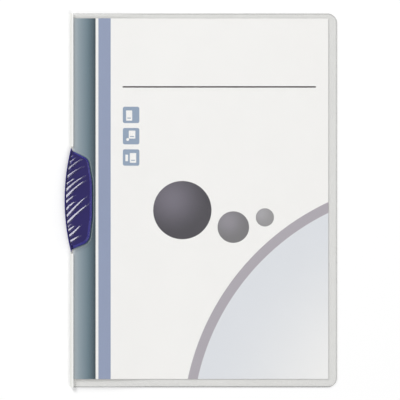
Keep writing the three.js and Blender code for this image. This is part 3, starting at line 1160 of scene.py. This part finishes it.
@dataclass(frozen=True)
class FilmFinish:
    """Satin clear film, with painted shade along its outer edges, a painted shadow at its bottom edge, and
    painted highlights along the fold and along the cut edge of the notch.
    """

    name: str
    tint: Colour
    alpha: float
    edge_shade_alpha: float
    crease_highlight_alpha: float
    # Tint of the painted shade along the outer edges.
    edge_shade_tint: Colour = linear(178, 178, 173)
    # Tint of the painted shadow along the bottom edge.
    foot_shadow_tint: Colour = linear(70, 70, 67)
    # The fold by the spine gets a painted highlight, from the fold tint to the crease tint.
    crease_highlight_tint: Colour = linear(255, 255, 253)
    fold_highlight_tint: Colour = linear(241, 241, 234)
    edge_shade_width: float = 1.0
    crease_highlight_width: float = 2.35
    width: float = 219.5
    height: float = 308
    corner: float = 8
    foot_shadow_width: float = 1.0
    fold_highlight_line: Point = (0.5, 1.1)
    # Distances from the spine between which the painted highlight along the fold turns brighter towards the
    # crease.
    """Distances from the spine between which the fold turns into the bright crease."""
    cloudiness: float = 0.02
    # Opacity of the painted highlight along the cut edge of the notch.
    rim_highlight_alpha: float = 0.28
    graze: float = 0.22
    roughness: float = 0.36

    def make(self) -> bpy.types.Material:
        """Build the material.

        Returns:
            The material.
        """
        material, nodes, shader = new_material(self.name)
        place = nodes.add("ShaderNodeTexCoord").outputs["Object"]
        x, y = nodes.plan(place)
        over_x = nodes.math("SUBTRACT", x, self.width - self.corner)
        over_y = nodes.math("SUBTRACT", nodes.math("ABSOLUTE", y), self.height / 2 - self.corner)
        outside = nodes.length(nodes.math("MAXIMUM", over_x, 0.0), nodes.math("MAXIMUM", over_y, 0.0))
        # A band along the outer edges is darker and more opaque: painted shade of the film's edge.
        inner = self.corner - self.edge_shade_width
        edge = nodes.ramp(outside, inner - 0.2, inner + 0.2)
        # Within a band at the bottom edge the edge tint turns dark: a painted shadow at the folder's foot.
        foot_shadow_line = self.height / 2 - self.foot_shadow_width
        foot = nodes.ramp(nodes.math("MULTIPLY", y, -1.0), foot_shadow_line - 0.1, foot_shadow_line + 0.1)
        # Near the spine the film is painted near white and nearly opaque: a painted highlight along the fold.
        crease = nodes.math("SUBTRACT", 1.0, nodes.ramp(x, self.crease_highlight_width - 0.3, self.crease_highlight_width + 0.3))
        colour = nodes.blend(edge, self.tint, nodes.blend(foot, self.edge_shade_tint, self.foot_shadow_tint))
        fold = nodes.blend(nodes.ramp(x, *self.fold_highlight_line), self.fold_highlight_tint, self.crease_highlight_tint)
        nodes.put(shader.inputs["Base Color"], nodes.blend(crease, colour, fold))
        cloud = nodes.math("MULTIPLY", nodes.noise(place, 18, 3), self.cloudiness)
        alpha = nodes.math("ADD", cloud, self.alpha - self.cloudiness / 2)
        alpha = nodes.math("MAXIMUM", alpha, nodes.math("MULTIPLY", edge, self.edge_shade_alpha))
        alpha = nodes.math("MAXIMUM", alpha, nodes.math("MULTIPLY", crease, self.crease_highlight_alpha))
        # The marked burr faces are more opaque: a painted highlight along the notch's cut edge.
        rim = nodes.add("ShaderNodeAttribute", attribute_name="rim").outputs["Fac"]
        alpha = nodes.math("MAXIMUM", alpha, nodes.math("MULTIPLY", rim, self.rim_highlight_alpha))
        facing = nodes.add("ShaderNodeLayerWeight").outputs["Facing"]
        facing = nodes.math("MULTIPLY", facing, nodes.add("ShaderNodeLightPath").outputs["Is Camera Ray"])
        alpha = nodes.math("ADD", alpha, nodes.math("MULTIPLY", facing, self.graze), clamp=True)
        nodes.put(shader.inputs["Alpha"], alpha)
        nodes.grain(shader, place, fine=2600, coarse=240, roughness=self.roughness, spread=0.12, depth=0.12)
        return material


@dataclass(frozen=True)
class Disc:
    """A printed disc: its middle, its radius and how dark it is."""

    x: float
    y: float
    radius: float
    share: float


@dataclass(frozen=True)
class Sign:
    """A small printed sign: its middle, and its page's middle, width and height."""

    y: float
    page_x: float
    page_y: float
    wide: float
    high: float


@dataclass(frozen=True)
class PrintFinish:
    """White paper with stripes, a rule, three small signs and a picture of discs.

    Places are in millimetres, x from the folder's spine and y from its middle.
    """

    name: str = "printed_paper"
    white: Colour = linear(250, 249, 247)
    off_white: Colour = linear(248, 247, 245)
    band_stops: tuple[tuple[float, Colour], ...] = (
        (2.1, linear(192, 200, 205)),
        (4.2, linear(160, 172, 179)),
        (7.0, linear(141, 157, 166)),
        (11.0, linear(119, 138, 149)),
        (14.3, linear(97, 120, 132)),
        (17.5, linear(68, 92, 104)),
        (20.2, linear(28, 54, 68)),
    )
    stripe: Colour = linear(145, 157, 186)
    rule: Colour = linear(38, 31, 26)
    sign: Colour = linear(146, 164, 187)
    pale: Colour = linear(226, 229, 234)
    mauve: Colour = linear(176, 170, 178)
    charcoal: Colour = linear(58, 54, 64)
    sheen: Colour = linear(112, 107, 120)
    band: Point = (0, 20.6)
    stripe_place: Point = (22.9, 33.0)
    rule_x: Point = (42.8, 202)
    rule_y: Point = (92.9, 94.1)
    page: Point = (34, 260)
    field_middle: Point = (300, -190)
    field_radius: float = 200
    field_clear: float = 60
    arc_width: float = 8
    discs: tuple[Disc, ...] = (
        Disc(92, -8, 24, 1.0),
        Disc(134, -22, 13, 0.85),
        Disc(160, -14, 7.5, 0.7),
    )
    sign_x: float = 49.8
    sign_size: Point = (13.6, 13.5)
    sign_corner: float = 1.6
    signs: tuple[Sign, ...] = (
        Sign(70.4, 48.2, 69.9, 5.0, 8.4),
        Sign(52.9, 50.6, 54.2, 5.4, 6.6),
        Sign(35.3, 51.4, 35.0, 5.2, 8.0),
    )
    marks: tuple[tuple[Point, Point, float], ...] = (
        ((47.0, 50.2), (2.4, 2.4), 1.2),
        ((46.2, 35.0), (2.2, 5.4), 0.4),
    )
    """Middle, size and corner radius of the small marks beside the pages."""

    @staticmethod
    def between(nodes: Nodes, value: object, low: float, high: float, soft: float = 0.12) -> object:
        """A mask that is 1 between two places.

        Args:
            nodes: Writer of the tree.
            value: Socket of the place.
            low: Lower end.
            high: Upper end.
            soft: Half the width of each soft end.

        Returns:
            The mask's socket.
        """
        rise = nodes.ramp(value, low - soft, low + soft)
        drop = nodes.ramp(value, high - soft, high + soft)
        return nodes.math("SUBTRACT", rise, drop, clamp=True)

    @staticmethod
    def box(nodes: Nodes, place: tuple[object, object], middle: Point, size: Point, corner: float) -> object:
        """A mask that is 1 inside a rectangle with round corners.

        Args:
            nodes: Writer of the tree.
            place: Sockets of x and y.
            middle: Middle of the rectangle.
            size: Its width and height.
            corner: Radius of its corners.

        Returns:
            The mask's socket.
        """
        over = []
        for socket, centre, side in zip(place, middle, size):
            away = nodes.math("ABSOLUTE", nodes.math("SUBTRACT", socket, centre))
            over.append(nodes.math("MAXIMUM", nodes.math("SUBTRACT", away, side / 2 - corner), 0.0))
        return nodes.math("SUBTRACT", 1.0, nodes.ramp(nodes.length(*over), corner - 0.12, corner + 0.12))

    def picture(self, nodes: Nodes, x: object, y: object, colour: object) -> object:
        """Print the pale field with its arc, and the discs.

        Args:
            nodes: Writer of the tree.
            x: Socket of the distance from the spine.
            y: Socket of the place along it.
            colour: Socket of the colour below.

        Returns:
            The colour's socket.
        """

        def away(middle_x: float, middle_y: float) -> object:
            """Distance from a point in the plan."""
            return nodes.length(nodes.math("SUBTRACT", x, middle_x), nodes.math("SUBTRACT", y, middle_y))

        distance, edge = away(*self.field_middle), self.field_radius
        inside_field = nodes.math("SUBTRACT", 1.0, nodes.ramp(distance, edge - 0.3, edge + 0.3))
        inside_page = self.between(nodes, x, *self.page)
        fade = nodes.ramp(distance, self.field_clear, edge)
        field_colour = nodes.blend(fade, self.white, self.pale)
        colour = nodes.blend(nodes.math("MULTIPLY", inside_field, inside_page), colour, field_colour)
        arc = self.between(nodes, distance, edge, edge + self.arc_width, 0.2)
        colour = nodes.blend(nodes.math("MULTIPLY", arc, inside_page), colour, self.mauve)
        for disc in self.discs:
            ring = nodes.ramp(away(disc.x, disc.y), disc.radius - 0.15, disc.radius + 0.15)
            from_light = away(disc.x - disc.radius * 0.35, disc.y + disc.radius * 0.4)
            lit = nodes.ramp(from_light, 0.0, disc.radius * 1.3)
            shade = nodes.blend(lit, self.sheen, self.charcoal)
            inside = nodes.math("SUBTRACT", 1.0, ring)
            colour = nodes.blend(nodes.math("MULTIPLY", inside, disc.share), colour, shade)
        return colour

    def small_signs(self, nodes: Nodes, x: object, y: object, colour: object) -> object:
        """Print the three signs, each with a page on it.

        Args:
            nodes: Writer of the tree.
            x: Socket of the distance from the spine.
            y: Socket of the place along it.
            colour: Socket of the colour below.

        Returns:
            The colour's socket.
        """
        shapes = []
        for sign in self.signs:
            line_y = sign.page_y - sign.high / 4
            shapes.append(((self.sign_x, sign.y), self.sign_size, self.sign_corner, self.sign))
            shapes.append(((sign.page_x, sign.page_y), (sign.wide, sign.high), 0.4, self.white))
            shapes.append(((sign.page_x, line_y), (sign.wide - 2, 0.7), 0.2, self.sign))
        for middle, size, corner in self.marks:
            shapes.append((middle, size, corner, self.white))
        for middle, size, corner, tint in shapes:
            colour = nodes.blend(self.box(nodes, (x, y), middle, size, corner), colour, tint)
        return colour

    def make(self) -> bpy.types.Material:
        """Build the material.

        Returns:
            The material.
        """
        material, nodes, shader = new_material(self.name)
        place = nodes.add("ShaderNodeTexCoord").outputs["Object"]
        x, y = nodes.plan(place)
        colour = nodes.blend(nodes.noise(place, 60, 3), self.white, self.off_white)
        colour = self.picture(nodes, x, y, colour)
        colour = nodes.blend(self.between(nodes, x, *self.band), colour, nodes.stops(x, self.band_stops))
        colour = nodes.blend(self.between(nodes, x, *self.stripe_place), colour, self.stripe)
        along = self.between(nodes, x, *self.rule_x)
        rule = nodes.math("MULTIPLY", along, self.between(nodes, y, *self.rule_y, soft=0.1))
        colour = nodes.blend(rule, colour, self.rule)
        colour = self.small_signs(nodes, x, y, colour)
        nodes.put(shader.inputs["Base Color"], colour)
        shader.inputs["Specular IOR Level"].default_value = 0.2
        nodes.grain(shader, place, fine=3000, coarse=300, roughness=0.55, spread=0.06, depth=0.05)
        return material


@dataclass(frozen=True)
class MouldedFinish:
    """Glossy indigo plastic, with a lighter colour on the marked faces of the moulding as a painted
    highlight.
    """

    name: str = "indigo_plastic"
    colour: Colour = linear(38, 28, 100)
    deep: Colour = linear(32, 23, 88)
    # Lighter colour of the marked faces, a painted highlight.
    border_highlight: Colour = linear(62, 54, 150)
    coat: float = 0.3
    coat_roughness: float = 0.08

    def make(self) -> bpy.types.Material:
        """Build the material.

        Returns:
            The material.
        """
        material, nodes, shader = new_material(self.name)
        place = nodes.add("ShaderNodeTexCoord").outputs["Object"]
        body = nodes.blend(nodes.noise(place, 90, 3), self.deep, self.colour)
        # The marked faces take the lighter colour, a painted highlight.
        border_highlight = nodes.add("ShaderNodeAttribute", attribute_name="border_highlight").outputs["Fac"]
        nodes.put(shader.inputs["Base Color"], nodes.blend(border_highlight, body, self.border_highlight))
        shader.inputs["Coat Weight"].default_value = self.coat
        shader.inputs["Coat Roughness"].default_value = self.coat_roughness
        nodes.grain(shader, place, fine=1500, coarse=700, roughness=0.15, spread=0.06, depth=0.05)
        return material


@dataclass
class Studio:
    """Floor, light and camera."""

    floor_size: float = 6.0
    view_width: float = 0.3296
    camera_height: float = 2.5
    aim: Point = (-0.7 * MM, 0.33 * MM)
    sensor: float = 36
    world_strength: float = 0.42
    floor_glow: float = 0.05
    lamps: tuple[tuple[str, tuple[float, float, float], float, float], ...] = (
        ("key", (-1.7, 2.08, 2.4), 1.4, 72.0),
        ("fill", (1.2, -1.6, 2.6), 1.8, 28.0),
    )
    """Name, place, size and power of each lamp."""

    def floor(self) -> None:
        """Lay a plain white floor."""
        Bench.clear()
        bpy.ops.mesh.primitive_plane_add(size=self.floor_size)
        floor = bpy.context.object
        floor.name = "floor"
        material, nodes, shader = new_material("floor")
        shader.inputs["Base Color"].default_value = (1, 1, 1, 1)
        shader.inputs["Roughness"].default_value = 0.9
        shader.inputs["Specular IOR Level"].default_value = 0.0
        rays = nodes.add("ShaderNodeLightPath").outputs
        seen = nodes.math("MAXIMUM", rays["Is Camera Ray"], rays["Is Glossy Ray"])
        seen = nodes.math("MAXIMUM", seen, rays["Is Transmission Ray"])
        shader.inputs["Emission Color"].default_value = (1, 1, 1, 1)
        nodes.put(shader.inputs["Emission Strength"], nodes.math("MULTIPLY", seen, self.floor_glow))
        floor.data.materials.append(material)
        floor.location.z = -0.1 * MM
        Bench.settle(floor)

    def lights(self) -> None:
        """Set the world and the lamps."""
        world = bpy.data.worlds.new("studio")
        world.use_nodes = True
        bpy.context.scene.world = world
        background = world.node_tree.nodes["Background"]
        background.inputs["Color"].default_value = (1, 1, 1, 1)
        background.inputs["Strength"].default_value = self.world_strength
        for name, place, size, power in self.lamps:
            data = bpy.data.lights.new(name, "AREA")
            data.size = size
            data.energy = power
            lamp = bpy.data.objects.new(name, data)
            lamp.location = place
            lamp.rotation_euler = (-Vector(place)).to_track_quat("-Z", "Y").to_euler()
            bpy.context.scene.collection.objects.link(lamp)

    def camera(self) -> None:
        """Look straight down at the folder."""
        data = bpy.data.cameras.new("camera")
        data.sensor_width = self.sensor
        data.lens = self.sensor * self.camera_height / self.view_width
        data.clip_end = 20
        camera = bpy.data.objects.new("camera", data)
        camera.location = (*self.aim, self.camera_height)
        bpy.context.scene.collection.objects.link(camera)
        bpy.context.scene.camera = camera


def dress(piece: bpy.types.Object, material: bpy.types.Material) -> None:
    """Give a piece its one material and log it.

    Args:
        piece: The piece.
        material: The material.
    """
    piece.data.materials.clear()
    piece.data.materials.append(material)
    triangles = sum(len(face.vertices) - 2 for face in piece.data.polygons)
    LOG.info("%s: %d triangles", piece.name, triangles)


def main() -> None:
    """Build the folder and its studio."""
    logging.basicConfig(level=logging.INFO, format="%(message)s")
    scene = bpy.context.scene
    scene.view_settings.view_transform = "Standard"
    studio = Studio()
    studio.camera()
    studio.lights()
    studio.floor()
    cover = FilmCover()
    # After the tint and the base opacity come the opacity of the painted shade along the outer edges and of
    # the painted highlight along the fold.
    front_film = FilmFinish("front_film", linear(231, 232, 230), 0.035, 0.08, 0.9)
    back_film = FilmFinish("back_film", linear(212, 211, 203), 0.14, 0.2, 0.6)
    dress(cover.build_back(), back_film.make())
    dress(InsertSheet().build(), PrintFinish().make())
    dress(cover.build_front(), front_film.make())
    dress(SwingClip().build(), MouldedFinish().make())
    paint = {
        "back_cover": back_film,
        "front_cover": front_film,
        "insert_sheet": PrintFinish(),
        "clip": MouldedFinish(),
    }
    for node, finish in paint.items():
        dress(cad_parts[node], bpy.data.materials[finish.name])


if __name__ == "__main__":
    main()
